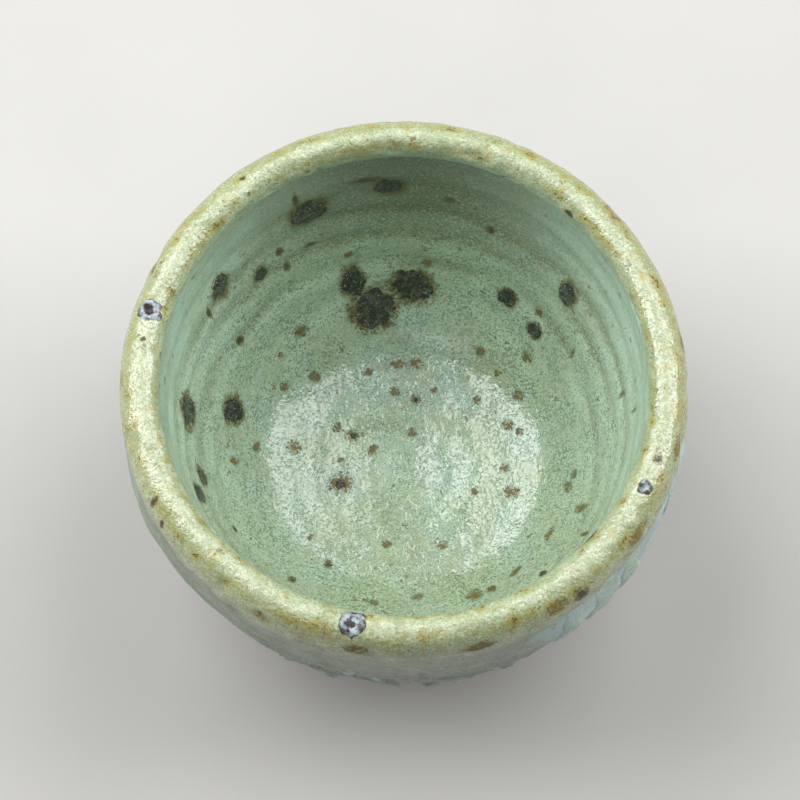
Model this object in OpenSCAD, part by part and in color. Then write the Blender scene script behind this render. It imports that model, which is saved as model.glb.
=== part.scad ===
// Hand-thrown stoneware teacup: a thrown clay body with a turned foot ring, coated with ash glaze
// inside, outside and over the lip. Iron grains melted through the inside coat, small stones show
// in the lip, and thick glaze runs and beads stand on the outside.
// Millimetres, +Z up, origin on the table at the middle of the foot. The user's side is -Y.

/* [Cup] */
// Height from the table to the top of the glazed lip
cup_h = 57; // [50:0.5:70]
// Outside diameter of the clay just below the lip
cup_d = 82.4; // [76:0.2:92]
// Thickness of the clay wall where the lip begins
lip_wall = 4.7; // [3.6:0.1:6]
// Distance from the inner face of the wall to the crest of the lip
lip_crest_in = 1.8; // [1:0.1:2.4]
// Height of the rounding on the inner side of the lip
lip_round_in = 2.6; // [1.5:0.1:4]
// Height of the rounding on the outer side of the lip
lip_round_out = 4.6; // [3:0.1:6]

/* [Well] */
// Diameter of the gently dished flat of the floor inside
floor_d = 36; // [28:1:42]
// Thickness of the middle of the floor above the hollow of the foot
floor_t = 5.8; // [5:0.1:10]
// Rise of the floor from its middle to the edge of its flat
floor_dish = 1.8; // [0.2:0.1:3]
// How far the wall draws in below the lip before it turns to the floor
wall_draw = 1.9; // [0.5:0.1:4]
// Reach of the curve that joins the floor to the wall
well_round = 11; // [7:0.5:13]

/* [Outside] */
// Length of the wall that stays close to upright below the lip
wall_upright = 22; // [14:0.5:26]
// Reach of the curve above the foot
heel_reach = 11.5; // [7:0.5:14]
// Rise of the curve above the foot
heel_rise = 5; // [3:0.5:8]

/* [Foot] */
// Outside diameter of the foot ring
foot_d = 47; // [42:1:54]
// Width of the foot ring
foot_w = 6; // [4:0.2:8]
// Height of the foot ring
foot_h = 5; // [4:0.2:7]
// Depth of the hollow turned inside the foot ring
foot_hollow = 4; // [2:0.2:5]
// Bevel on the edges of the foot ring
foot_bevel = 0.6; // [0.3:0.1:1]

/* [Throwing rings] */
// Distance from one throwing ring to the next
ring_pitch = 5; // [4:0.25:8]
// Height of the rings inside
ring_h_in = 0.36; // [0:0.02:0.6]
// Height of the rings outside
ring_h_out = 0.24; // [0:0.02:0.5]

/* [Glaze] */
// Thickness of the coat poured inside
glaze_in_t = 0.6; // [0.4:0.05:1]
// Thickness of the coat dipped outside
glaze_out_t = 0.6; // [0.4:0.05:1]
// Extra thickness where the two coats overlap on the lip
lip_gather = 0.25; // [0.1:0.05:0.5]
// Height of the glaze line above the table
glaze_line_h = 8.5; // [7.5:0.25:12]
// Extra thickness of the roll at the glaze line
glaze_roll = 0.5; // [0.2:0.05:0.8]
// Height of that roll
glaze_roll_w = 2.2; // [1.5:0.1:4]

/* [Iron spots] */
// Diameter of a large iron spot
spot_large = 6.2; // [5:0.1:7]
// Diameter of a medium iron spot
spot_medium = 4.8; // [3.8:0.1:5]
// Diameter of a small iron spot
spot_small = 3; // [2:0.1:3.6]

/* [Stones, runs and beads] */
// Diameter of the largest stone in the lip
stone_d = 3.8; // [2.5:0.1:4.5]
// How far a stone stands proud of the lip
stone_proud = 0.3; // [0.1:0.05:0.6]
// Thickness of a run of thick glaze on the outside
run_t = 0.45; // [0.3:0.05:0.8]
// Width of an average run
run_w = 6; // [4:0.5:8]
// Stretch below the lip over which a run thickens
run_swell = 9; // [5:0.5:12]
// Diameter of a glaze bead
bead_d = 1.6; // [1:0.1:2]

/* [Hidden] */
$fn = 96;
// Steps round the solid cup that the small beads are cut by
core_fn = 360;

// Steps along each stretch of the profile
floor_steps = 12;
wall_steps = 48;
lip_steps = 6;
outer_steps = 34;
heel_steps = 8;
// Each iron spot on the wall: bearing from +X, share of the way from floor to lip, diameter
wall_spots = [
    [106, 0.28, spot_small], [101, 0.14, spot_large], [87, 0.22, spot_large], [115, 0.75, spot_large],
    [94, 0.8, spot_medium], [145, 0.71, spot_medium], [132, 0.55, spot_small], [176, 0.55, spot_large],
    [165, 0.2, spot_medium], [192, 0.41, spot_small], [199, 0.52, spot_small], [40, 0.55, spot_medium],
    [57, 0.29, spot_small], [44, 0.24, spot_small]
];
// Each iron spot on the floor: bearing, share of the way from the middle to the edge, diameter
floor_spots = [[192, 0.58, spot_medium], [81, 0.67, spot_small], [144, 0.56, spot_small]];
// Each stone along the lip: bearing, share of the way from crest to outside, share of the largest
stones = [[165, 0.15, 0.9], [259, 0, 1], [333, 0.1, 0.5]];
// Each run of thick glaze: bearing, share of the average width, share of the way to the glaze line
runs = [[-6, 0.8, 0.33], [-13, 1.2, 0.47], [-21, 0.7, 0.28], [-38, 1, 0.35], [-45, 1.3, 0.53],
    [-54, 0.8, 0.4]];
// Each glaze bead: bearing, share of the way from the glaze line up to the lip
beads = [[236, 0.38], [243, 0.47], [249, 0.36], [254, 0.43], [259, 0.31], [263, 0.41], [268, 0.5],
    [271, 0.36], [276, 0.43], [281, 0.34], [287, 0.45], [294, 0.38], [301, 0.48]];

// Height of the lip's clay crest and of the two ends of its rounding
clay_h = cup_h - (glaze_in_t + glaze_out_t) / 2 - lip_gather;
lip_in_z = clay_h - lip_round_in;
lip_out_z = clay_h - lip_round_out;
// Radii of the outside, the mouth, the crest, the floor and the foot
cup_r = cup_d / 2;
mouth_r = cup_r - lip_wall;
crest_r = mouth_r + lip_crest_in;
floor_r = floor_d / 2;
floor_z = foot_hollow + floor_t;
foot_r = foot_d / 2;
// Share of the wall's height, from the lip down, over which it draws in gently
draw_share = 0.47;
// Smooth curves of the wall, inside from floor to lip and outside from lip to foot
floor_edge = [floor_r, floor_z + floor_dish];
inner_curve = [floor_edge, floor_edge + well_round * [1, 2 * floor_dish / floor_r],
    [mouth_r - wall_draw, lip_in_z - draw_share * (lip_in_z - floor_z)], [mouth_r, lip_in_z]];
outer_curve = [[cup_r, lip_out_z], [cup_r, lip_out_z - wall_upright],
    [foot_r + heel_reach, foot_h + heel_rise], [foot_r, foot_h]];
// Stretch below the lip over which the throwing rings die away
ring_fade = 8;

function bezier(c, t) = pow(1 - t, 3) * c[0] + 3 * pow(1 - t, 2) * t * c[1]
    + 3 * (1 - t) * t * t * c[2] + pow(t, 3) * c[3];
function stretch(c, t0, t1, n) = [for (i = [0 : n]) bezier(c, t0 + (t1 - t0) * i / n)];
// Parameter of a curve at a height, by halving; rising is true where the curve climbs
function at_height(c, z, rising, lo = 0, hi = 1, n = 24) = n == 0 ? (lo + hi) / 2 :
    let (mid = (lo + hi) / 2, low = bezier(c, mid).y < z)
    low == rising ? at_height(c, z, rising, mid, hi, n - 1) : at_height(c, z, rising, lo, mid, n - 1);
function reversed(p) = [for (i = [len(p) - 1 : -1 : 0]) p[i]];
function part_of(p, from, to) = [for (i = [from : to]) p[i]];
// Direction out of the clay at point i of a path that runs from the floor over the lip to the outside
function outward(p, i) = let (d = p[min(i + 1, len(p) - 1)] - p[max(i - 1, 0)]) [-d.y, d.x] / norm(d);
function clamp01(x) = min(1, max(0, x));

// Turned profile before throwing rings: floor, wall, lip and outside down to the glaze line
glaze_end_t = at_height(outer_curve, glaze_line_h, false);
function floor_at(share) = [floor_r * share, floor_z + floor_dish * share * share];
smooth_floor = [for (i = [0 : floor_steps - 1]) floor_at(i / floor_steps)];
smooth_wall = stretch(inner_curve, 0, 1, wall_steps);
smooth_lip_in = [for (i = [1 : lip_steps]) let (a = 90 * i / lip_steps)
    [crest_r - lip_crest_in * cos(a), lip_in_z + lip_round_in * sin(a)]];
smooth_lip_out = [for (i = [1 : lip_steps]) let (a = 90 * i / lip_steps)
    [crest_r + (cup_r - crest_r) * sin(a), lip_out_z + lip_round_out * cos(a)]];
smooth_out = part_of(stretch(outer_curve, 0, glaze_end_t, outer_steps), 1, outer_steps);
smooth = concat(smooth_floor, smooth_wall, smooth_lip_in, smooth_lip_out, smooth_out);

// Where the inside coat, the lip coat and the outside coat meet
inside_end = floor_steps + wall_steps;
lip_end = inside_end + 2 * lip_steps;
skin_end = lip_end + outer_steps;
// Last place along the skin that a run may reach, above the roll at the glaze line
run_end = skin_end - 4;

// Clay surface with its throwing rings, which die away at the lip, the middle and the glaze line
function ring_size(i) = i <= inside_end
    ? ring_h_in / 2 * clamp01((lip_in_z - smooth[i].y) / ring_fade) * clamp01(smooth[i].x / ring_pitch)
    : i <= lip_end ? 0
    : ring_h_out / 2 * clamp01((lip_out_z - smooth[i].y) / ring_fade)
        * clamp01((smooth[i].y - glaze_line_h) / ring_fade);
function ring_wave(p) = sin(360 * (p.x + p.y) / ring_pitch);
clay_skin = [for (i = [0 : skin_end]) i == 0 ? smooth[0]
    : smooth[i] + ring_size(i) * ring_wave(smooth[i]) * outward(smooth, i)];

// Glaze surface: even inside, gathered on the lip, rolled and rounded off at the glaze line
function roll_at(s) = glaze_roll * exp(-pow(s / glaze_roll_w, 2));
function nose_at(s) = sqrt(1 - pow(1 - clamp01(s * 2 / glaze_roll_w), 2));
function lip_share(i) = (i - inside_end) / (lip_end - inside_end);
function coat_t(i) = i <= inside_end ? glaze_in_t
    : i <= lip_end ? glaze_in_t + (glaze_out_t - glaze_in_t) * lip_share(i)
        + lip_gather * sin(180 * lip_share(i))
    : let (s = clay_skin[i].y - clay_skin[skin_end].y) (glaze_out_t + roll_at(s)) * nose_at(s);
glaze_skin = [for (i = [0 : skin_end]) i == 0 ? clay_skin[0] + [0, glaze_in_t]
    : clay_skin[i] + coat_t(i) * outward(clay_skin, i)];
function run_t_at(i) = run_t * clamp01((glaze_skin[lip_end].y - glaze_skin[i].y) / run_swell);
run_skin = [for (i = [0 : skin_end]) glaze_skin[i] + run_t_at(i) * outward(glaze_skin, i)];

heel = part_of(stretch(outer_curve, glaze_end_t, 1, heel_steps), 1, heel_steps);
foot = [
    [foot_r - foot_bevel, foot_bevel],
    [foot_r - 2 * foot_bevel, 0],
    [foot_r - foot_w + foot_bevel, 0],
    [foot_r - foot_w, foot_bevel],
    [foot_r - foot_w - foot_bevel, foot_hollow],
    [0, foot_hollow]
];

// Solid of one coat between two places along the skin
module coat(from, to) {
    last = to == skin_end ? to - 1 : to;
    rotate_extrude() polygon(concat(part_of(clay_skin, from, to), reversed(part_of(glaze_skin, from, last))));
}

// Solid cup out to the face of the outside coat, which runs and beads are fitted to
module glazed_core() {
    top = [0, glaze_skin[lip_end].y];
    bottom = [0, glaze_skin[skin_end].y];
    rotate_extrude($fn = core_fn) polygon(concat([top], part_of(glaze_skin, lip_end, skin_end), [bottom]));
}

module iron_grains() {
    for (s = wall_spots) {
        h = floor_edge.y + s[1] * (lip_in_z - floor_edge.y);
        p = bezier(inner_curve, at_height(inner_curve, h, true));
        rotate(s[0]) translate([p.x, 0, p.y]) sphere(d = s[2]);
    }
    for (s = floor_spots) {
        p = floor_at(s[1]);
        rotate(s[0]) translate([p.x, 0, p.y]) sphere(d = s[2]);
    }
}

module stone_grains() {
    for (s = stones) {
        d = stone_d * s[2];
        r = crest_r + s[1] * (cup_r - crest_r);
        rotate(s[0]) translate([r, 0, cup_h + stone_proud - d / 2]) sphere(d = d);
    }
}

// Outline of one run, a tongue with a round end, pushed out through the wall along its bearing
module run_tongue(width, length) {
    end_z = lip_out_z - length + width / 2;
    rotate([90, 0, 90]) linear_extrude(cup_d) {
        translate([-width / 2, end_z]) square([width, cup_h - end_z]);
        translate([0, end_z]) circle(d = width);
    }
}

// Thrown wall and floor with the foot ring turned from the same clay
module clay_body() {
    color("#6b5647") rotate_extrude() polygon(concat(clay_skin, heel, foot));
}

// Coat poured inside, with a pocket round each iron grain
module inner_glaze() {
    color("#8f9c80") difference() {
        coat(0, inside_end);
        iron_grains();
    }
}

// Thick coat over the lip, with a pocket round each stone
module lip_glaze() {
    color("#c3bd8c") difference() {
        coat(inside_end, lip_end);
        stone_grains();
    }
}

// Coat dipped outside, ending in a roll above the bare foot
module outer_glaze() {
    color("#98a189") coat(lip_end, skin_end);
}

// Iron grains that melted into the inside coat and lie flush with it
module iron_spots() {
    color("#2f2a22") intersection() {
        coat(0, inside_end);
        iron_grains();
    }
}

// Stones that burst through the lip and stand a little proud of its coat
module lip_stones() {
    color("#b9b6ad") difference() {
        stone_grains();
        clay_body();
    }
}

// Runs of thick pale glaze on the right of the outside
module glaze_runs() {
    color("#bccbc2") intersection() {
        rotate_extrude() polygon(concat(part_of(glaze_skin, lip_end, run_end),
            reversed(part_of(run_skin, lip_end + 1, run_end))));
        for (r = runs)
            rotate(r[0]) run_tongue(run_w * r[1], r[2] * (lip_out_z - glaze_line_h));
    }
}

// Beads of glaze standing on the lower front
module glaze_beads() {
    color("#a6ad97") difference() {
        for (b = beads) {
            h = glaze_line_h + b[1] * (lip_out_z - glaze_line_h);
            p = bezier(outer_curve, at_height(outer_curve, h, false));
            rotate(b[0]) translate([p.x + glaze_out_t, 0, p.y]) sphere(d = bead_d);
        }
        glazed_core();
    }
}

clay_body();
inner_glaze();
lip_glaze();
outer_glaze();
iron_spots();
lip_stones();
glaze_runs();
glaze_beads();
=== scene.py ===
import math

import bmesh
import bpy
from mathutils import Color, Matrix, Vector, noise
from mathutils.bvhtree import BVHTree
from mathutils.geometry import interpolate_bezier
from mathutils.kdtree import KDTree


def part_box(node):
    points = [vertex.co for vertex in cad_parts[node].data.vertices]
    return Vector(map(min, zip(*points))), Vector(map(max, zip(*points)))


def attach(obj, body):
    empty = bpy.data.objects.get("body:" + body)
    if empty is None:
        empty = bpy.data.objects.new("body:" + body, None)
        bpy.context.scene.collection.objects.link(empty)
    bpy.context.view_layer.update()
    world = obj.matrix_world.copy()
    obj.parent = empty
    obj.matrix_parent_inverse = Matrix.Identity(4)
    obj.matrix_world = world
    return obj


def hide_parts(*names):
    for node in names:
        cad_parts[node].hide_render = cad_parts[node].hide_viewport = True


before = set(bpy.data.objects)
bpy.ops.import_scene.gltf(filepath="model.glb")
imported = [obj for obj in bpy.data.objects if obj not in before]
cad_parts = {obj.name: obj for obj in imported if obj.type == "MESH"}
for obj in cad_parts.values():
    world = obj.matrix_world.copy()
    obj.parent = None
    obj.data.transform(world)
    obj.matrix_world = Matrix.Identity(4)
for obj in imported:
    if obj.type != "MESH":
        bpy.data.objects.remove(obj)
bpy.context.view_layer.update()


# Clay body: coarse brown stoneware, thrown on a wheel as one small bowl with a thick lip.
# The foot ring and its hollow are turned when the clay is leather hard, so they keep the lines
# of the tool. Only the foot and the lowest part of the outside stay bare of glaze.
mm = 0.001
lip_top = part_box("clay_body")[1].z
lip_in_z, lip_out_z = lip_top - 2.6 * mm, lip_top - 4.6 * mm
mouth_r, crest_r, cup_r = 36.5 * mm, 38.3 * mm, 41.2 * mm
floor_r, floor_mid, floor_edge, dish_power = 18 * mm, 9.8 * mm, 11.6 * mm, 1.3
foot_r, foot_h, foot_in_r, hollow_z = 23.5 * mm, 5 * mm, 16.9 * mm, 4 * mm
foot_face_r, foot_face_in_r, foot_bevel = 22.3 * mm, 18.1 * mm, 0.6 * mm


def drawn(count, *knots):
    """Points along one smooth stretch of the profile, in the half plane of +X."""
    return interpolate_bezier(*(Vector((r, 0, z)) for r, z in knots), count)


def dished_floor(count):
    dish = floor_edge - floor_mid
    shares = [i / count for i in range(count)]
    return [Vector((floor_r * share, 0, floor_mid + dish * share ** dish_power)) for share in shares]


def inner_wall(count):
    corner_pull, wall_pull = (31 * mm, 13.3 * mm), (34.3 * mm, 33 * mm)
    return drawn(count, (floor_r, floor_edge), corner_pull, wall_pull, (mouth_r, lip_in_z))


def round_lip(count):
    """The lip's two quarter rounds, which meet at its crest."""
    pull = 0.5523
    rise_in, rise_out = lip_top - lip_in_z, lip_top - lip_out_z
    inside = drawn(count // 2, (mouth_r, lip_in_z), (mouth_r, lip_in_z + pull * rise_in),
                   (crest_r - pull * (crest_r - mouth_r), lip_top), (crest_r, lip_top))
    outside = drawn(count // 2 + 1, (crest_r, lip_top), (crest_r + pull * (cup_r - crest_r), lip_top),
                    (cup_r, lip_out_z + pull * rise_out), (cup_r, lip_out_z))
    return inside[:-1] + outside


def outer_wall(count):
    side_pull, heel_pull = (cup_r, 29.55 * mm), (35 * mm, 10 * mm)
    return drawn(count, (cup_r, lip_out_z), side_pull, heel_pull, (foot_r, foot_h))


def turned(outline, steps):
    """An outline spun round the axis, as clay turns on a wheel. Away from the axis it is closed first."""
    bm = bmesh.new()
    verts = [bm.verts.new(p) for p in outline]
    edges = [bm.edges.new(pair) for pair in zip(verts, verts[1:])]
    if outline[0].x > 0 or outline[-1].x > 0:
        edges.append(bm.edges.new((verts[-1], verts[0])))
    bmesh.ops.spin(bm, geom=verts + edges, cent=(0, 0, 0), axis=(0, 0, 1), angle=math.tau, steps=steps,
                   use_merge=True)
    bmesh.ops.remove_doubles(bm, verts=bm.verts, dist=0.001 * mm)
    bmesh.ops.recalc_face_normals(bm, faces=bm.faces)
    return bm


def outward(turn):
    """The way out from the axis at a turn round the cup."""
    return Vector((math.cos(turn), math.sin(turn), 0))


def hand_thrown(p):
    """Where a point of a truly round cup lies on this one, which wavers as thrown clay does.
    The lip sways in and out and drops by so many millimetres, and the rest of the wall by less."""
    turn, height = math.atan2(p.y, p.x), p.z / lip_top
    sway = -0.16 + 0.05 * math.cos(2 * turn + 1.6) + 0.06 * math.cos(3 * turn + 2.2)
    drop = -0.26 + 0.14 * math.cos(turn - 1.9) + 0.1 * math.cos(3 * turn + 0.4)
    return p + outward(turn) * sway * height * mm + Vector((0, 0, drop * mm * height ** 4))


def thrown(bm):
    for vert in bm.verts:
        vert.co = hand_thrown(vert.co)


def finished(bm, name, material, node, sharp=50):
    """The piece as an object that stands for its CAD node, with edges over that many degrees sharp."""
    for face in bm.faces:
        face.smooth = True
    for edge in bm.edges:
        edge.smooth = edge.calc_face_angle(0) < math.radians(sharp)
    mesh = bpy.data.meshes.new(name)
    bm.to_mesh(mesh)
    bm.free()
    mesh.materials.append(material)
    piece = bpy.data.objects.new(name, mesh)
    bpy.context.scene.collection.objects.link(piece)
    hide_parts(node)
    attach(piece, "root")


class Tone:
    """One output of a material's nodes, which takes part in plain sums."""

    def __init__(self, nodes, output):
        self.nodes, self.output = nodes, output

    def node(self, kind, settings=None, values=None, give=0):
        """A node of any kind: its settings come first, then its sockets, and it gives one output."""
        made = self.nodes.new(kind)
        for name, setting in (settings or {}).items():
            setattr(made, name, setting)
        for name, value in (values or {}).items():
            if isinstance(value, Tone):
                value.feeds(made.inputs[name])
            else:
                made.inputs[name].default_value = value
        return Tone(self.nodes, made.outputs[give])

    def feeds(self, socket):
        self.nodes.id_data.links.new(socket, self.output)

    def sum(self, operation, *terms):
        return self.node("ShaderNodeMath", {"operation": operation}, dict(enumerate(terms)))

    def __add__(self, other):
        return self.sum("ADD", self, other)

    def __sub__(self, other):
        return self.sum("SUBTRACT", self, other)

    def __rsub__(self, other):
        return self.sum("SUBTRACT", other, self)

    def __mul__(self, other):
        return self.sum("MULTIPLY", self, other)

    __radd__, __rmul__ = __add__, __mul__

    def above(self, level, soft):
        """0 where the value is well below the level, 1 where it is well above."""
        return self.node("ShaderNodeMapRange", {"interpolation_type": "SMOOTHSTEP"},
                         {"Value": self, "From Min": level - soft, "From Max": level + soft})

    def lay(self, under, colour):
        """The colour laid over another where this mask is 1."""
        return self.node("ShaderNodeMix", {"data_type": "RGBA"}, {0: self, 6: under, 7: colour}, 2)

    def cloud(self, size, detail=2.0, rough=0.5):
        """Soft noise with marks of about that size, on this place."""
        return self.node("ShaderNodeTexNoise", {},
                         {"Vector": self, "Scale": 1 / size, "Detail": detail, "Roughness": rough})

    def axis(self, name):
        """One coordinate of this place."""
        return self.node("ShaderNodeSeparateXYZ", {}, {"Vector": self}, name)

    def painted(self, layer):
        """What a vertex layer of the piece says."""
        return self.node("ShaderNodeAttribute", {"attribute_name": layer}, give="Fac")


def fired(*seen):
    """A colour as it is seen, red, green and blue from 0 to 255, for a shader."""
    return (*Color([c / 255 for c in seen]).from_srgb_to_scene_linear(), 1)


def new_finish(name):
    """A material, its shader, and the place on the piece that its patterns follow."""
    material = bpy.data.materials.new(name)
    material.use_nodes = True
    nodes = material.node_tree.nodes
    shader = nodes["Principled BSDF"]
    return material, shader, Tone(nodes, None).node("ShaderNodeTexCoord", give="Object")


def set_finish(shader, colour, rough, height, deep):
    """Gives a shader its colour, its roughness and a fine relief that is so deep."""
    colour.feeds(shader.inputs["Base Color"])
    rough.feeds(shader.inputs["Roughness"])
    relief = height.node("ShaderNodeBump", {}, {"Distance": deep, "Height": height})
    relief.feeds(shader.inputs["Normal"])


def bare_clay():
    material, shader, place = new_finish("bare_stoneware")
    sand, grit, toast = place.cloud(0.5 * mm, 3), place.cloud(1.7 * mm, 2), place.cloud(14 * mm, 3)
    soot = place.cloud(0.9 * mm, 1)
    colour = sand.above(0.5, 0.2).lay(fired(112, 84, 60), fired(148, 116, 86))
    colour = toast.above(0.52, 0.16).lay(colour, fired(126, 82, 48))
    colour = (grit.above(0.66, 0.04) * 0.8).lay(colour, fired(196, 178, 150))
    colour = (soot.above(0.72, 0.03) * 0.9).lay(colour, fired(52, 36, 26))
    set_finish(shader, colour, 0.72 + sand * 0.2, sand * 0.6 + grit * 0.8, 0.16 * mm)
    return material


foot = [Vector((r, 0, z)) for r, z in (
    (foot_face_r + foot_bevel, foot_bevel), (foot_face_r, 0), (foot_face_in_r, 0),
    (foot_face_in_r - foot_bevel, foot_bevel), (foot_in_r, hollow_z))]
side_rows, side_line_h = 16, 0.06 * mm
heel = Vector((foot_r, 0, foot_h))
foot_side = [foot[0].lerp(heel, row / side_rows) for row in range(side_rows - 1, 0, -1)]
foot_side = [p + Vector((side_line_h * math.sin(row * 1.9), 0, 0)) for row, p in enumerate(foot_side)]
hollow_rows, calm_rows, hollow_line_h = 60, 12, 0.1 * mm
hollow = []
for row in range(1, hollow_rows + 1):
    line = hollow_line_h * math.sin(row * 1.7) * min(1, (hollow_rows - row) / calm_rows)
    hollow.append(Vector((foot_in_r * (1 - row / hollow_rows), 0, hollow_z + line)))
clay_outline = (dished_floor(24) + inner_wall(50) + round_lip(24)[1:] + outer_wall(80)[1:]
                + foot_side + foot + hollow)
clay = turned(clay_outline, 240)
thrown(clay)
finished(clay, "clay_body_visual", bare_clay(), "clay_body", sharp=30)


# Inner glaze: a thick celadon of wood ash, poured in and swilled round, then fired to a fine grain.
# It lies a little over half a millimetre deep on the clay, follows the throwing rings that climb
# the wall, and gathers dark and olive in their grooves. Iron in the clay bleeds through as spots.
glaze_t = 0.6 * mm
ring_pitch, ring_start = 6.4 * mm, 31.9 * mm
coat_steps = 400


def coat_outline(path, deep):
    """A coat's closed outline, with its outside face first and then the clay side in fewer points,
    and the way out of the coat at each point of the outside face."""
    clay_side_step = 8
    ways = []
    for i in range(len(path)):
        along = path[min(i + 1, len(path) - 1)] - path[max(i - 1, 0)]
        ways.append(Vector((-along.z, 0, along.x)).normalized())
    if path[0].x == 0:
        ways[0] = Vector((0, 0, 1))
    face = [p + way * t for p, way, t in zip(path, ways, deep)]
    clay_side = path[::-clay_side_step]
    if clay_side[-1] != path[0]:
        clay_side.append(path[0])
    return face + clay_side, ways


def coat(path, deep, relief):
    """A coat of glaze on the round clay, with the relief of its outside face."""
    outline, ways = coat_outline(path, deep)
    bm = turned(outline, coat_steps)
    rows = KDTree(len(outline))
    for row, point in enumerate(outline):
        rows.insert(point, row)
    rows.balance()
    for vert in bm.verts:
        turn = math.atan2(vert.co.y, vert.co.x)
        row = rows.find(Vector((vert.co.xy.length, 0, vert.co.z)))[1]
        if row < len(path):
            way = outward(turn) * ways[row].x + Vector((0, 0, ways[row].z))
            vert.co += way * relief(vert.co, turn)
    return bm


def round_noise(turn, busy, level):
    """Noise that runs round the cup without a seam, and is the more busy the higher that number is."""
    return noise.noise(Vector((busy * math.cos(turn), busy * math.sin(turn), level)))


def lumps(p, size):
    """Noise in lumps of about that size."""
    return noise.noise(p / size)


def smooth_step(value, low, high):
    """0 up to the low value and 1 from the high one, with a soft rise between them."""
    share = max(0.0, min(1.0, (value - low) / (high - low)))
    return share * share * (3 - 2 * share)


def close_to(value, middle, width):
    """1 at the middle, falling away over the width to each side."""
    return math.exp(-((value - middle) / width) ** 2)


def near_bearing(turn, bearing, width):
    """1 at a bearing, falling away over that many degrees to each side."""
    away = (math.degrees(turn) - bearing + 180) % 360 - 180
    return close_to(away, 0, width)


def ring_wave(turn, height):
    """How far a point stands from a throwing groove: 0 in it, 1 on the ridge between two."""
    waver = 0.16 * round_noise(turn, 2, height / (9 * mm))
    phase = (height - ring_start) / ring_pitch - (turn / math.tau - 0.25) + waver
    return 0.5 - 0.5 * math.cos(math.tau * phase)


def inside_relief(p, turn):
    """How far the glazed inside stands out from the smooth shape, worked out in millimetres."""
    r = p.xy.length
    on_wall = smooth_step(p.z, 13 * mm, 24 * mm) * (1 - smooth_step(p.z, 46 * mm, 53 * mm))
    uneven = 0.7 + 0.5 * round_noise(turn, 1.6, p.z / (14 * mm))
    rings = 0.42 * (ring_wave(turn, p.z) - 0.5) * on_wall * uneven
    swirl = 0.02 * math.sin(math.tau * r / (4.6 * mm) + turn) * smooth_step(r, 2 * mm, 5 * mm)
    swirl *= 1 - smooth_step(p.z, 12 * mm, 15 * mm)
    return (rings + swirl + 0.1 * lumps(p, 6 * mm) + 0.04 * lumps(p, 2.2 * mm)) * mm


def on_cup(bearing, r, z):
    """A point of the round cup by its bearing in degrees and its radius and height in millimetres."""
    turn = math.radians(bearing)
    return Vector((r * mm * math.cos(turn), r * mm * math.sin(turn), z * mm))


def stain(bm, layer_name, marks, spread):
    """Writes marks into a vertex layer: 1 in a mark's middle, 0 at so many times its half size."""
    layer = bm.verts.layers.float.get(layer_name) or bm.verts.layers.float.new(layer_name)
    bm.verts.ensure_lookup_table()
    tree = KDTree(len(bm.verts))
    for index, vert in enumerate(bm.verts):
        tree.insert(vert.co, index)
    tree.balance()
    for bearing, r, z, across, along in marks:
        middle = tree.find(on_cup(bearing, r, z))[0]
        turn = math.radians(bearing)
        side = Vector((-math.sin(turn), math.cos(turn), 0))
        half_across, half_along = across / 2 * mm * spread, along / 2 * mm * spread
        for co, index, _ in tree.find_range(middle, 1.1 * max(half_across, half_along)):
            off = co - middle
            sideways = off.dot(side)
            upward = math.sqrt(max(0, off.length_squared - sideways ** 2))
            away = math.hypot(sideways / half_across, upward / half_along)
            vert = bm.verts[index]
            vert[layer] = max(vert[layer], 1 - away)


def shade(bm, layer_name, amount):
    """Writes a vertex layer from each point's place and turn on the round cup."""
    layer = bm.verts.layers.float.new(layer_name)
    for vert in bm.verts:
        vert[layer] = amount(vert.co, math.atan2(vert.co.y, vert.co.x))


def pooled(p, turn):
    """How much glaze has run together in the grooves of the wall and round the floor's far edge."""
    r = p.xy.length
    far = near_bearing(turn, 95, 50)
    grooves = (1 - ring_wave(turn, p.z)) ** 2 * smooth_step(p.z, 17 * mm, 27 * mm) * (0.9 + 0.5 * far)
    grooves *= 1 - smooth_step(p.z, (36 + 6 * far) * mm, (47 + 4 * far) * mm)
    floor_ring = 0.8 * near_bearing(turn, 97, 28) * close_to(r, 17.6 * mm, 1.1 * mm)
    corner_ring = 0.7 * near_bearing(turn, 86, 24) * close_to(r, 21.8 * mm, 1.2 * mm)
    broken = 0.55 + 0.9 * round_noise(turn, 3, p.z / (5 * mm))
    return (grooves + floor_ring + corner_ring) * max(0, broken)


def painted_shade_under_far_lip(p, turn):
    """Painted shade: the darker wall under the far lip."""
    return near_bearing(turn, 90, 46) * smooth_step(p.z, 28 * mm, 41 * mm)


def rim_share(p, turn):
    """Where the coat is drawn thin over the lip and burns cream and ochre."""
    low, rise = (52.6 * mm, 3 * mm) if p.xy.length < crest_r else (48 * mm, 6 * mm)
    return smooth_step(p.z, low, low + rise)


def burn_share(p, turn):
    """The two bands along the lip, inside and outside of its crest, where the thin glaze burns ochre."""
    across = (p.xy.length - mouth_r) / (cup_r - mouth_r)
    patchy_in = 0.6 + 0.9 * round_noise(turn, 4, 0) + 0.4 * round_noise(turn, 12.4, 0)
    patchy_out = 0.6 + 0.9 * round_noise(turn, 4, 9) + 0.4 * round_noise(turn, 10.8, 0)
    bands = patchy_in * close_to(across, 0.05, 0.12) + patchy_out * close_to(across, 0.82, 0.24)
    return max(0, bands) * smooth_step(p.z, 49 * mm, 53.5 * mm)


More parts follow.
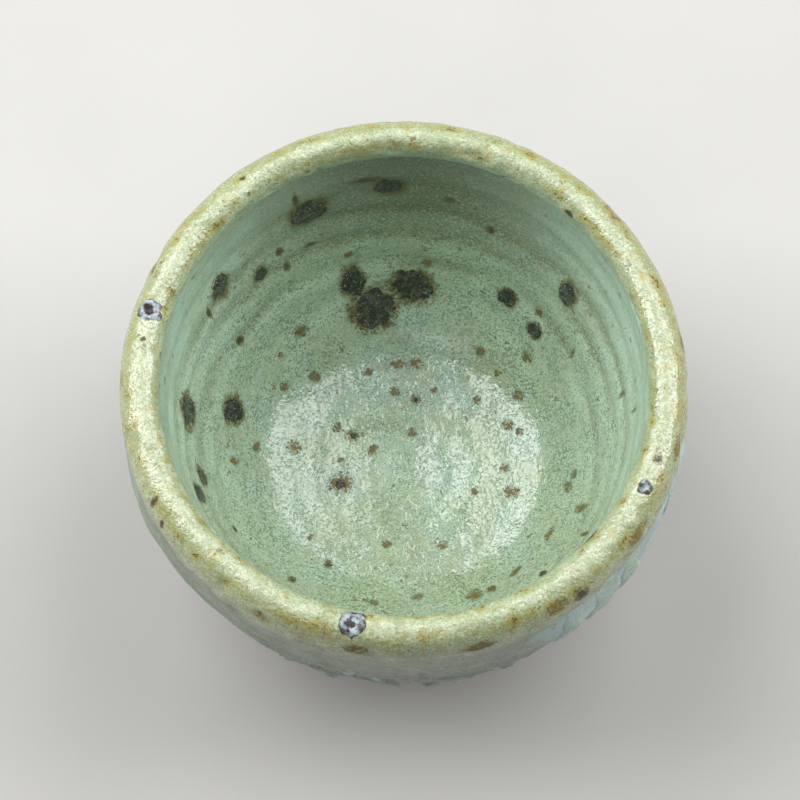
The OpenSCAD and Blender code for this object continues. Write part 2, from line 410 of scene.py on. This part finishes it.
def ash_glaze(name, gloss):
    """The ash glaze of the cup: celadon inside, cream on the lip, grey and smoky outside, with painted
    shade.
    """
    material, shader, place = new_finish(name)
    broad, mottle, patch = place.cloud(10 * mm, 3), place.cloud(3.4 * mm, 3, 0.6), place.cloud(2 * mm, 2)
    grain, fine, peel = place.cloud(0.48 * mm, 2, 0.6), place.cloud(0.23 * mm, 1), place.cloud(1.2 * mm, 2)
    flat = place.node("ShaderNodeVectorMath", {"operation": "MULTIPLY"}, {0: place, 1: (1, 1, 5)})
    brushed, dirt = flat.cloud(6 * mm, 3, 0.6), place.cloud(7 * mm, 4, 0.65)
    level, near = place.axis("Z"), 1 - place.axis("Y").above(-9 * mm, 10 * mm)
    calm, wall = level.above(41 * mm, 9 * mm), level.above(16 * mm, 3 * mm)
    rim, burn, outside, thick = (place.painted(layer) for layer in ("rim", "burn", "outside", "thick"))
    pool, smoke_and_shade, iron, ochre = (place.painted(layer) for layer in ("pool", "smoke_and_shade", "iron", "ochre"))
    speckle = grain * 0.5 + fine * 0.5
    ragged = 1 + (grain - 0.5) * 3 + (fine - 0.5) * 2 + (peel - 0.5) * 1.4

    # Celadon: paler up the wall, yellower in front, painted shade under the far lip, olive in the grooves
    celadon = broad.above(0.5, 0.2).lay(fired(156, 182, 147), fired(172, 204, 192))
    celadon = (mottle.above(0.54, 0.16) * 0.4).lay(celadon, fired(162, 178, 132))
    celadon = (wall * 0.5).lay(celadon, fired(188, 212, 192))
    celadon = (calm * 0.75).lay(celadon, fired(172, 202, 186))
    celadon = (brushed.above(0.55, 0.16) * 0.36).lay(celadon, fired(136, 160, 130))
    celadon = (near * 0.4).lay(celadon, fired(152, 168, 118))
    # painted shade: the wall under the far lip is darkened where shade falls
    celadon = (smoke_and_shade * 0.96).lay(celadon, fired(94, 104, 84))
    celadon = ((dirt * ragged).above(0.66, 0.16) * 0.5).lay(celadon, fired(128, 120, 72))
    olive = (pool * (1.3 - mottle * 0.6)).above(0.45, 0.4)
    celadon = (olive * 0.45).lay(celadon, fired(104, 104, 58))

    # Grey outside, darker where smoke reached it and with painted shade on the front
    grey = mottle.above(0.5, 0.2).lay(fired(102, 118, 94), fired(122, 141, 116))
    smoky_and_shaded = (smoke_and_shade + (mottle - 0.5) * 1.1 + (brushed - 0.5) * 1.2).above(0.52, 0.4)
    grey = (smoky_and_shaded * 0.88).lay(grey, fired(66, 68, 60))

    # Both have dark pits and pale sparks, and are milky and bluish where they are thick
    body = outside.lay(celadon, grey)
    pitted = (1 - (speckle + (mottle - 0.5) * 0.3).above(0.45, 0.1)) * (1 - calm * 0.75)
    body = (pitted * 0.68).lay(body, fired(84, 98, 66))
    sparks = speckle.above(0.57, 0.09) * (0.55 - calm * 0.3) * (1 - outside * 0.7)
    body = sparks.lay(body, fired(216, 228, 214))
    bluish = broad.above(0.5, 0.15).lay(fired(150, 178, 174), fired(174, 200, 202))
    # milky where the glaze is thick; on the drops and beads this paleness is partly a painted highlight
    milky = (thick + (mottle - 0.5) * 1.2).above(0.5, 0.4)
    body = (milky * 0.9).lay(body, bluish)

    # Cream on the lip, with its own pits and sparks, singed ochre and scorched brown in places
    cream = mottle.above(0.5, 0.2).lay(fired(144, 159, 122), fired(171, 183, 152))
    cream = ((burn * (mottle + 0.3)).above(0.5, 0.4) * 0.8).lay(cream, fired(152, 155, 94))
    # the olive outside the crest is its own colour, thinned on the front as painted light to brighten that
    # side
    cream = (outside * (0.75 - near * 0.55)).lay(cream, fired(140, 147, 93))
    cream = ((1 - speckle.above(0.44, 0.07)) * 0.6).lay(cream, fired(138, 134, 78))
    cream = (speckle.above(0.57, 0.07) * 0.5).lay(cream, fired(206, 213, 190))
    singed = (patch * 1.3 + grain * 0.5 + burn * 0.22).above(1.1, 0.14)
    cream = (singed * 0.6).lay(cream, fired(156, 144, 70))
    scorched = (patch * 0.9 + grain * 1.1 + burn * 0.2).above(1.34, 0.08)
    cream = (scorched * 0.85).lay(cream, fired(92, 74, 38))
    colour = (rim + (mottle - 0.5) * 1.1).above(0.5, 0.46).lay(body, cream)

    # Iron that bled through: rusty marks with amber middles, dark ones with an olive edge, and specks
    rusty = (ochre * ragged).above(0.54, 0.09)
    colour = (rusty * (0.9 - rim * 0.5)).lay(colour, fired(40, 33, 8))
    amber = (ochre + rim * 0.12 + (grain - 0.5) * 0.9 + (fine - 0.5) * 0.5).above(0.66, 0.1)
    colour = (amber * speckle.above(0.45, 0.08) * 0.95).lay(colour, fired(112, 92, 8))
    colour = ((iron * ragged).above(0.28, 0.09) * 0.85).lay(colour, fired(98, 82, 18))
    dark = (iron * ragged).above(0.54, 0.08)
    colour = (dark * 0.95).lay(colour, fired(42, 38, 28))
    cells = {"Vector": place, "Scale": 1 / (2.2 * mm)}
    seeds = place.node("ShaderNodeTexVoronoi", {}, cells)
    chance = place.node("ShaderNodeTexVoronoi", {}, cells, "Color")
    speck = (1 - (seeds * ragged).above(0.15, 0.08)) * chance.above(0.66, 0.04)
    colour = (speck * 0.7).lay(colour, fired(98, 84, 42))

    # Dimpled like orange peel, smoother where it is thick or high on the wall, and lumpy on the lip
    rough = gloss + grain * 0.05 + dark * 0.3 + rusty * 0.55 + pitted * 0.07
    dimples = (1 - grain.above(0.4, 0.1)) * 0.5 + (1 - peel.above(0.42, 0.1)) * 0.6 - fine * 0.08
    height = -1 * dimples * (1 - milky * 0.8) * (1 - calm * (1 - rim) * 0.6)
    height = height + peel * (0.22 + rim * 1.5) + grain * rim * 1.2
    set_finish(shader, colour, rough, height, 0.05 * mm)
    shader.inputs["IOR"].default_value = 1.72
    return material


# Marks in the glaze, here and on the lip: bearing in degrees, then radius, height, width round the cup
# and length up the wall in millimetres. The first two lists are the iron spots that also stand out.
wall_spots = [
    (106, 28.5, 22.5, 4.2, 7.0), (101, 25.6, 17.5, 7.6, 7.4), (87, 27.6, 20.6, 7.2, 7.2),
    (115, 34.6, 43.0, 6.4, 6.4), (94, 34.9, 45.0, 4.8, 4.6), (145, 34.3, 41.3, 4.2, 6.4),
    (132, 32.8, 34.3, 2.6, 4.2), (176, 32.8, 34.4, 5.4, 7.6), (165, 27.2, 20.0, 4.6, 5.4),
    (192, 31.2, 28.8, 3.0, 5.4), (199, 32.5, 33.4, 3.0, 5.2), (40, 32.9, 34.5, 3.6, 6.6),
    (57, 29.2, 23.7, 3.6, 3.6), (44, 28.2, 21.6, 3.0, 3.4)]
floor_spots = [(192, 10.4, 11.0, 3.4, 4.2), (81, 12.1, 11.3, 1.6, 1.7), (144, 10.1, 11.0, 2.0, 2.2)]
dark_marks = [
    (99, 35.2, 47.6, 5.5, 1.6), (118, 35.3, 48.0, 1.0, 4.0), (151, 33.8, 39.0, 0.8, 3.6),
    (125, 33.3, 36.5, 1.2, 2.0), (147, 30.1, 25.9, 1.4, 2.2), (-131, 25.8, 17.8, 1.2, 2.2),
    (-138, 31.3, 29.4, 0.7, 2.6), (-30, 31.1, 28.6, 0.8, 3.4), (-43, 28.6, 22.6, 1.2, 1.8),
    (-127, 19.9, 12.8, 1.4, 1.4), (-41, 36.4, 55.0, 2.4, 1.6), (-154, 28.4, 22.1, 1.2, 1.2),
    (124, 32.0, 31.7, 1.2, 2.2), (67, 33.4, 36.9, 1.4, 1.6)]
ochre_marks = [
    (33, 21.6, 13.7, 2.2, 2.2), (47, 21.7, 13.8, 1.6, 1.6), (133, 20.9, 13.3, 2.0, 2.0),
    (139, 25.7, 17.7, 1.4, 1.4), (106, 31.2, 28.8, 1.8, 1.8), (1, 16.2, 11.9, 1.8, 1.8),
    (46, 29.8, 25.1, 2.0, 2.0), (30, 29.7, 25.0, 1.0, 3.6), (58, 22.8, 14.6, 1.6, 1.6),
    (24, 18.1, 12.2, 2.2, 2.2), (19, 19.6, 12.7, 1.6, 1.6), (41, 25.6, 17.6, 2.4, 2.0),
    (-13, 17.4, 12.1, 2.6, 2.6), (146, 12.9, 11.3, 1.8, 1.8), (169, 10.2, 11.0, 1.2, 1.2),
    (128, 26.3, 18.6, 2.6, 2.6), (93, 17.7, 12.2, 2.6, 1.8), (84, 17.8, 12.2, 2.2, 1.8),
    (78, 6.8, 10.7, 2.0, 1.8), (83, 29.7, 25.0, 2.0, 2.0), (78, 34.4, 42.0, 2.6, 1.4),
    (-5, 26.1, 18.2, 1.8, 1.8), (-10, 25.6, 17.6, 2.2, 2.4), (-19, 28.4, 22.1, 2.0, 4.2),
    (-28, 25.2, 17.0, 2.6, 1.8), (-63, 23.8, 15.5, 2.8, 3.2), (145, 22.9, 14.7, 1.8, 1.8),
    (168, 17.9, 12.2, 2.6, 2.6), (173, 23.1, 14.9, 2.2, 1.6), (-179, 26.2, 18.4, 1.8, 2.6),
    (45, 16.7, 12.0, 1.6, 1.6), (116, 32.7, 34.2, 2.6, 1.4), (-1, 34.4, 42.1, 1.0, 2.4),
    (7, 33.2, 36.1, 1.0, 3.0), (5, 34.9, 45.1, 0.8, 2.4), (-64, 13.9, 11.5, 2.2, 1.6),
    (-103, 12.7, 11.3, 2.0, 1.4), (-57, 24.3, 16.0, 1.8, 1.8), (-85, 21.1, 13.4, 2.2, 1.6),
    (-102, 22.8, 14.6, 1.6, 1.6), (-142, 18.5, 12.3, 1.4, 1.4), (-46, 24.6, 16.3, 2.8, 1.4),
    (-17, 11.8, 11.2, 1.4, 1.4), (144, 6.1, 10.6, 2.4, 1.6), (110, 17.5, 12.1, 2.2, 1.4),
    (96, 13.5, 11.4, 1.8, 1.6), (70, 14.5, 11.5, 1.6, 1.4)]

inner_path = dished_floor(40) + inner_wall(112)
inner = coat(inner_path, [glaze_t] * len(inner_path), inside_relief)
stain(inner, "iron", wall_spots, spread=1.5)
stain(inner, "iron", dark_marks, spread=1.6)
stain(inner, "ochre", wall_spots + floor_spots, spread=2.0)
stain(inner, "ochre", ochre_marks, spread=1.7)
shade(inner, "pool", pooled)
shade(inner, "smoke_and_shade", painted_shade_under_far_lip)
shade(inner, "rim", rim_share)
shade(inner, "burn", burn_share)
thrown(inner)
inner_tree = BVHTree.FromBMesh(inner)
celadon_inside = ash_glaze("celadon_inside", gloss=0.07)
finished(inner, "inner_glaze_visual", celadon_inside, "inner_glaze")


# Lip glaze: the same ash glaze where it is drawn thin over the round lip and burns cream and ochre.
# It joins the coats inside and outside without a step, and bellies out a little on the crest.
lip_path = round_lip(44)
lip_belly, lip_last = 0.25 * mm, len(lip_path) - 1
lip_deep = [glaze_t + lip_belly * math.sin(math.pi * row / lip_last) for row in range(lip_last + 1)]
# Stones that burst through it: bearing in degrees, radius and width in millimetres
lip_stones = [(165, 38.8, 3.6), (259, 38.3, 3.9), (333, 38.6, 2.1)]
lip_marks = [
    (60, 36.6, 54.6, 1.6, 1.2), (47, 36.6, 54.8, 1.4, 1.2), (21, 36.8, 55.2, 1.8, 1.2),
    (-152, 40.6, 55.0, 1.0, 2.6), (-148, 41.2, 54.0, 0.9, 2.4), (-135, 36.9, 55.5, 1.4, 1.2),
    (-42, 36.6, 55.0, 2.6, 1.4), (-52, 41.0, 54.4, 2.4, 2.4), (-20, 39.0, 57.0, 1.4, 1.4),
    (150, 37.0, 55.6, 1.0, 1.0), (172, 38.6, 57.0, 0.8, 0.8), (128, 39.5, 56.8, 0.9, 0.9)]
lip_ochre = [
    (-100, 41.0, 54.0, 5.0, 3.0), (-75, 41.2, 53.6, 6.0, 2.6), (-58, 40.6, 55.0, 5.0, 3.0),
    (-35, 40.8, 54.6, 6.0, 3.0), (-120, 41.0, 54.0, 4.0, 2.6), (-128, 37.0, 55.6, 3.6, 1.6),
    (-15, 40.8, 54.6, 5.0, 2.6), (8, 40.9, 54.4, 6.0, 2.4), (140, 37.0, 55.4, 5.0, 1.6),
    (120, 37.0, 55.4, 7.0, 1.4), (155, 40.8, 54.6, 3.0, 2.0), (180, 40.9, 54.4, 4.0, 2.0)]


def lip_lumps(p):
    """The uneven lip, with small hollows where the glaze drew back, in millimetres."""
    hollows = smooth_step(lumps(p, 3.6 * mm), 0.2, 0.55)
    return 0.12 * lumps(p, 6 * mm) + 0.1 * lumps(p, 2.2 * mm) - 0.24 * hollows


def lip_relief(p, turn):
    """The lip's own lumps, and a dent where each stone has burst."""
    dent = 0
    for bearing, r, wide in lip_stones:
        away = (p.xy - on_cup(bearing, r, 0).xy).length / mm
        dent = max(dent, 1 - smooth_step(away, wide * 0.1, wide * 0.4))
    return (lip_lumps(p) - 0.6 * dent) * mm


def outside_share(p, turn):
    """0 on the inside of the lip's crest, rising to 1 on its outside."""
    return smooth_step(p.xy.length, crest_r - 0.4 * mm, crest_r + 2.4 * mm)


lip = coat(lip_path, lip_deep, lip_relief)
stain(lip, "iron", lip_marks, spread=1.6)
stain(lip, "ochre", lip_ochre, spread=1.6)
shade(lip, "rim", rim_share)
shade(lip, "burn", burn_share)
shade(lip, "outside", outside_share)
thrown(lip)
lip_tree = BVHTree.FromBMesh(lip)
finished(lip, "lip_glaze_visual", ash_glaze("cream_lip", gloss=0.18), "lip_glaze")


# Outer glaze: a paler, stiffer coat of the ash glaze that ran down the outside in the kiln.
# Smoke and painted shade have greyed one side, and the other has a thick bluish curtain with a ragged lower
# edge.
# It stops above the foot in a rolled, wavering line where the dipped glaze ended.
glaze_line, line_waver = 8.5 * mm, 1.6 * mm
roll_rows, roll_h, roll_edge = 10, 0.3 * mm, (0.55 * mm, 0.25 * mm)
outer_path = [p for p in outer_wall(132) if p.z > glaze_line]
roll = [glaze_t + roll_h * math.sin(math.pi * row / (roll_rows + 1)) for row in range(roll_rows, 0, -1)]
outer_deep = [glaze_t] * (len(outer_path) - roll_rows) + roll[:-len(roll_edge)] + list(roll_edge)


def curtain_edge(turn):
    """Height of the thick curtain's ragged lower edge."""
    return (38 + 5 * round_noise(turn, 9, 3) + 2.2 * round_noise(turn, 26, 8)) * mm


def curtain(p, turn):
    """How much of the thick curtain hangs at a point: most on the front right, less on the right."""
    drift = turn + 0.16 * noise.noise(Vector((p.z / (7 * mm), 4, turn)))
    side = max(smooth_step(near_bearing(drift, -42, 24), 0.1, 0.8), 0.45 * near_bearing(drift, -10, 11))
    edge = curtain_edge(turn)
    return side * smooth_step(p.z, edge - 0.3 * mm, edge + 0.5 * mm)


def drops(p, turn):
    """Small drops that set in the coat itself, along the front."""
    band = smooth_step(p.z, 27 * mm, 32 * mm) * (1 - smooth_step(p.z, 38 * mm, 42 * mm))
    return near_bearing(turn, 272, 32) * band * smooth_step(lumps(p, 2.6 * mm), 0.2, 0.5)


def outside_relief(p, turn):
    """How far the glazed outside stands out from the smooth shape, worked out in millimetres."""
    deepest = -0.35
    below_lip = 1 - smooth_step(p.z, 44 * mm, 51 * mm)
    rings = 0.26 * (ring_wave(-turn, p.z * 1.1) - 0.5) * below_lip
    belly = 0.85 * near_bearing(turn, 207, 17) * close_to(p.z, 42 * mm, 11 * mm)
    belly -= 0.4 * near_bearing(turn, 262, 9) * below_lip
    belly *= smooth_step(51.5 * mm - p.z, 0, 5 * mm)
    uneven = (0.16 * lumps(p, 5 * mm) + 0.07 * lumps(p, 2 * mm) - 0.06) * below_lip
    uneven += lip_lumps(p) * (1 - below_lip)
    thick = 0.65 * curtain(p, turn) * below_lip + 0.4 * drops(p, turn)
    return max(rings + belly + uneven + thick, deepest) * mm


def smoke_and_painted_shade(p, turn):
    """Where smoke reached the cold side of the cup, with painted shade on its front: strongest low on the
    front left.
    """
    drift = 0.75 + 0.6 * round_noise(turn, 4, p.z / (16 * mm))
    return near_bearing(turn, 252, 48) * smooth_step(52 * mm - p.z, 0, 24 * mm) * drift


def slid(bm):
    """Lets the coat's lower edge waver: it slides up and down the wall, which leans out less higher up."""
    for vert in bm.verts:
        turn = math.atan2(vert.co.y, vert.co.x)
        climbed = smooth_step(vert.co.z, glaze_line, glaze_line + 9 * mm)
        up_wall = outward(turn) * (1.13 - 0.5 * climbed) + Vector((0, 0, 1))
        vert.co += up_wall * line_waver * round_noise(turn, 2.2, 5) * (1 - climbed)


outer = coat(outer_path, outer_deep, outside_relief)
shade(outer, "rim", rim_share)
shade(outer, "burn", burn_share)
shade(outer, "outside", lambda p, turn: 1.0)
shade(outer, "smoke_and_shade", smoke_and_painted_shade)
# the drops are pale: partly milky glaze, partly a painted highlight on the bumps
shade(outer, "thick", lambda p, turn: max(curtain(p, turn), 0.55 * drops(p, turn)))
slid(outer)
thrown(outer)
outer_tree = BVHTree.FromBMesh(outer)
finished(outer, "outer_glaze_visual", ash_glaze("grey_outside", gloss=0.2), "outer_glaze")


# Iron spots: grains of iron in the clay that melted up through the glaze inside the cup.
# Each is a shallow dark blister, fused into the celadon, with a rusty ring round it.
sunk = 0.3 * mm


def spot_group():
    """An empty mesh for blisters, with a layer that says how near its edge a point is."""
    bm = bmesh.new()
    bm.verts.layers.float.new("edge")
    return bm


def blister(bm, tree, middle, across, along, dome, ragged, seed, divisions):
    """A shallow blister fused into the face of a coat, with a ragged outline."""
    spot, out, _, _ = tree.find_nearest(middle)
    side = Vector((-middle.y, middle.x, 0)).normalized()
    rise = out.cross(side).normalized()
    lift = 2 * mm
    edge = bm.verts.layers.float["edge"]
    made = bmesh.ops.create_icosphere(bm, subdivisions=divisions, radius=1)["verts"]
    for vert in made:
        x, y, z = vert.co
        wave = 1
        for size, busy, level in ((1, 1.7, seed * 3.1), (0.42, 4, seed), (0.3, 11, seed)):
            wave += size * ragged * noise.noise(Vector((x * busy + seed, y * busy, level)))
        place = spot + side * (x * across / 2 * wave) + rise * (y * along / 2 * wave)
        ground = tree.ray_cast(place + out * lift, -out, 2 * lift)[0] or tree.find_nearest(place)[0]
        bubble = 1 + 0.9 * noise.noise(Vector((x * 5, y * 5, seed)))
        vert.co = ground + out * (dome * z ** 1.4 * bubble if z > 0 else sunk * z)
        vert[edge] = math.hypot(x, y)
    return made


def iron_finish():
    material, shader, place = new_finish("melted_iron")
    edge = place.painted("edge")
    grain, speck, cloud = place.cloud(0.5 * mm, 2, 0.6), place.cloud(0.28 * mm, 1), place.cloud(1.6 * mm, 2)
    colour = (grain + (cloud - 0.5) * 0.8).above(0.52, 0.14).lay(fired(34, 38, 34), fired(74, 81, 73))
    colour = (speck.above(0.6, 0.05) * cloud.above(0.5, 0.1) * 0.45).lay(colour, fired(122, 106, 62))
    # painted glints: tiny pale dots that stand in for highlights on the blister
    painted_glints = place.cloud(0.34 * mm, 1).above(0.7, 0.03)
    colour = (painted_glints * 0.9).lay(colour, fired(176, 184, 176))
    rust = (edge + (grain - 0.5) * 1.1 + (speck - 0.5) * 0.7 + (cloud - 0.5) * 0.6).above(1.06, 0.12)
    colour = (rust * 0.7).lay(colour, fired(104, 86, 28))
    set_finish(shader, colour, 0.06 + grain * 0.14, grain + speck * 0.3 + cloud, 0.2 * mm)
    return material


# The blister fills most of a mark on the wall and less of one on the floor, and a large one is finer
wall_share, floor_share, large_spot = 0.84, 0.42, 3
iron = spot_group()
for seed, (bearing, r, z, across, along) in enumerate(wall_spots + floor_spots):
    share = (wall_share if r * mm > floor_r else floor_share) * mm
    blister(iron, inner_tree, hand_thrown(on_cup(bearing, r, z)), across * share, along * share,
            dome=0.17 * mm, ragged=0.34, seed=seed + 1.5,
            divisions=4 if (across + along) / 2 > large_spot else 3)
finished(iron, "iron_spots_visual", iron_finish(), "iron_spots", sharp=80)


# Lip stones: small pale stones of the coarse clay that burst through the glaze on the lip.
# Each left a chalky ring with a pit in its middle, darkened with painted shade, and is held by the glaze
# round it.
# The smallest only lifted the glaze, so it has no pit.
cup_h = 57 * mm
burst_width = 3  # millimetres


def stone_finish():
    material, shader, place = new_finish("burst_stone")
    edge = place.painted("edge")
    grain, cloud, blot = place.cloud(0.4 * mm, 2, 0.6), place.cloud(1.3 * mm, 2), place.cloud(0.9 * mm, 2)
    colour = cloud.above(0.5, 0.14).lay(fired(116, 128, 132), fired(166, 178, 182))
    colour = (blot.above(0.58, 0.06) * 0.75).lay(colour, fired(84, 76, 82))
    colour = (grain.above(0.6, 0.08) * 0.4).lay(colour, fired(104, 104, 102))
    # painted shade: the burst's pit is darkened as shade in a hole
    painted_pit_shade = 1 - (edge + (cloud - 0.5) * 1.1 + (grain - 0.5) * 0.3).above(0.47, 0.07)
    colour = painted_pit_shade.lay(colour, fired(36, 28, 26))
    crust = (edge + (blot - 0.5) * 0.9).above(0.88, 0.08)
    colour = (crust * 0.85).lay(colour, fired(62, 52, 46))
    set_finish(shader, colour, 0.34 + grain * 0.3, grain + blot, 0.12 * mm)
    return material


stones = spot_group()
stone_edge = stones.verts.layers.float["edge"]
for seed, (bearing, r, wide) in enumerate(lip_stones):
    made = blister(stones, lip_tree, hand_thrown(on_cup(bearing, r, cup_h / mm)), wide * mm, wide * mm,
                   dome=0.1 * mm, ragged=0.3, seed=seed * 2.7 + 0.4, divisions=4)
    for vert in made:
        crust = 0.6 + 0.8 * lumps(vert.co, 0.9 * mm)
        vert.co.z += 0.22 * mm * crust * close_to(vert[stone_edge], 0.62, 0.26)
        if wide < burst_width:
            vert[stone_edge] = 0.6 + 0.4 * vert[stone_edge]
finished(stones, "lip_stones_visual", stone_finish(), "lip_stones", sharp=80)


# Glaze runs: thick tongues of the ash glaze that slid down the outside and set bluish white.
# They grow out of the coat below the lip, swell at their lower ends and lie fused on the coat.
run_top, clear_r = 51 * mm, 100 * mm
# Runs: bearing in degrees, then width, height of the lower end and thickness in millimetres
run_places = [
    (-6, 5.0, 39, 0.36), (-13, 7.2, 33, 0.74), (-21, 4.4, 41, 0.55), (-38, 6.2, 38, 0.45),
    (-45, 7.8, 30, 0.5), (-54, 5.0, 36, 0.45)]


def tongue(bm, bearing, wide, bottom, deep, seed):
    """A run of glaze down the outside, widest and thickest at its rounded lower end."""
    for vert in bmesh.ops.create_icosphere(bm, subdivisions=5, radius=1)["verts"]:
        x, y, z = vert.co
        down = (1 - y) / 2
        blunt = math.sqrt(max(0, 1 - y ** 8) / max(1e-6, 1 - y * y))
        broad = min(3, (0.62 + 0.38 * smooth_step(down, 0.5, 0.92)) * blunt)
        wander = 0.25 * noise.noise(Vector((y * 2, seed, 1)))
        height = Vector((0, 0, run_top + (bottom - run_top) * down))
        out = outward(math.radians(bearing) + (x * broad + wander) * wide / 2 / cup_r)
        ground = (outer_tree.ray_cast(out * clear_r + height, -out, clear_r)[0]
                  or outer_tree.find_nearest(out * cup_r + height)[0])
        swell = (0.5 + 0.5 * smooth_step(down, 0.3, 0.85)) * smooth_step(down, 0, 0.25)
        vert.co = ground + out * (deep * z * swell if z > 0 else sunk * z)


def run_finish():
    material, shader, place = new_finish("pale_run")
    mottle, grain, streak = place.cloud(3 * mm, 3, 0.6), place.cloud(0.6 * mm, 2), place.cloud(9 * mm, 2)
    colour = mottle.above(0.5, 0.2).lay(fired(154, 180, 172), fired(182, 204, 200))
    colour = (streak.above(0.55, 0.15) * 0.6).lay(colour, fired(158, 176, 150))
    colour = (grain.above(0.62, 0.06) * 0.4).lay(colour, fired(112, 128, 112))
    set_finish(shader, colour, 0.18 + grain * 0.2, grain + mottle, 0.05 * mm)
    return material


runs = bmesh.new()
for seed, (bearing, wide, bottom, deep) in enumerate(run_places):
    tongue(runs, bearing, wide * mm, bottom * mm, deep * mm, seed * 1.9)
finished(runs, "glaze_runs_visual", run_finish(), "glaze_runs", sharp=80)


# Glaze beads: drops of the outer glaze that set as small knobs round the lower front of the outside,
# each fused to the coat that it ran down.
bead_wide, bead_long, bead_h = 2.6 * mm, 1.7 * mm, 0.38 * mm
# Beads: bearing in degrees, and share of the way from the glaze line up to the lip
bead_places = [
    (236, 0.38), (243, 0.47), (249, 0.36), (254, 0.43), (259, 0.31), (263, 0.41), (268, 0.5), (271, 0.36),
    (276, 0.43), (281, 0.34), (287, 0.45), (294, 0.38), (301, 0.48)]
beads = spot_group()
for seed, (bearing, share) in enumerate(bead_places):
    plump = 1 + 0.42 * math.sin(seed * 2.4)
    height = Vector((0, 0, glaze_line + share * (lip_out_z - glaze_line)))
    out = outward(math.radians(bearing))
    middle = outer_tree.ray_cast(out * clear_r + height, -out)[0]
    blister(beads, outer_tree, middle, bead_wide * plump, bead_long * plump,
            dome=bead_h * plump, ragged=0.24, seed=seed * 1.3 + 0.2, divisions=3)
shade(beads, "outside", lambda p, turn: 1.0)
# the beads are pale: partly milky glaze, partly a painted highlight on their tops
shade(beads, "thick", lambda p, turn: 0.45)
grey_beads = ash_glaze("grey_beads", gloss=0.12)
finished(beads, "glaze_beads_visual", grey_beads, "glaze_beads", sharp=80)


# Table: a plain pale top of smooth painted board, on which the cup stands.
# It takes the cup's shadow and isn't part of the cup.
def table_finish():
    material, shader, place = new_finish("pale_table")
    colour = place.cloud(30 * mm, 2).above(0.5, 0.4).lay(fired(178, 177, 174), fired(182, 181, 178))
    colour.feeds(shader.inputs["Base Color"])
    shader.inputs["Roughness"].default_value = 0.7
    return material


table = bmesh.new()
bmesh.ops.create_grid(table, x_segments=1, y_segments=1, size=3)
table_mesh = bpy.data.meshes.new("table")
table.to_mesh(table_mesh)
table.free()
table_mesh.materials.append(table_finish())
table_top = bpy.data.objects.new("table", table_mesh)
bpy.context.scene.collection.objects.link(table_top)


# Studio: two soft boxes overhead and a little behind the cup, with a gap between them, one low on each
# side, a small weak one in front, a dim even room, and a camera that looks steeply down into the cup.
def soft_box(name, place, turn, width, length, watts):
    """A soft box of light, placed and sized in metres and turned from straight down about X and Y."""
    lamp = bpy.data.lights.new(name, "AREA")
    lamp.shape, lamp.size, lamp.size_y, lamp.energy = "RECTANGLE", width, length, watts
    box = bpy.data.objects.new(name, lamp)
    box.location = place
    box.rotation_euler = (math.radians(turn[0]), math.radians(turn[1]), 0)
    bpy.context.scene.collection.objects.link(box)


soft_box("soft_box_left", (-0.385, 0.31, 0.7), (0, -29), 0.62, 0.7, 6.7)
soft_box("soft_box_right", (0.392, 0.31, 0.7), (0, 29), 0.62, 0.7, 5.4)
soft_box("side_box_left", (-0.8, 0.2, 0.44), (0, -65), 0.4, 0.5, 4.6)
soft_box("side_box_right", (0.8, 0.2, 0.44), (0, 65), 0.4, 0.5, 4.2)
soft_box("front_box", (-0.2, -0.55, 0.72), (38, -16), 0.5, 0.4, 0.9)
room = bpy.data.worlds.new("room")
room.use_nodes = True
room_light = room.node_tree.nodes["Background"].inputs
room_light["Color"].default_value = (0.9, 0.95, 1, 1)
room_light["Strength"].default_value = 0.035
bpy.context.scene.world = room

tilt, reach = math.radians(70), 0.45
lens = bpy.data.cameras.new("camera")
lens.lens, lens.sensor_width = 139.5, 36
lens.shift_x, lens.shift_y = -0.005, -0.034
camera = bpy.data.objects.new("camera", lens)
towards_camera = Vector((0, -math.cos(tilt), math.sin(tilt)))
camera.location = Vector((0, 0, cup_h)) + towards_camera * reach
camera.rotation_mode = "QUATERNION"
camera.rotation_quaternion = (-towards_camera).to_track_quat("-Z", "Y")
bpy.context.scene.collection.objects.link(camera)
bpy.context.scene.camera = camera
bpy.context.scene.view_settings.view_transform = "Standard"
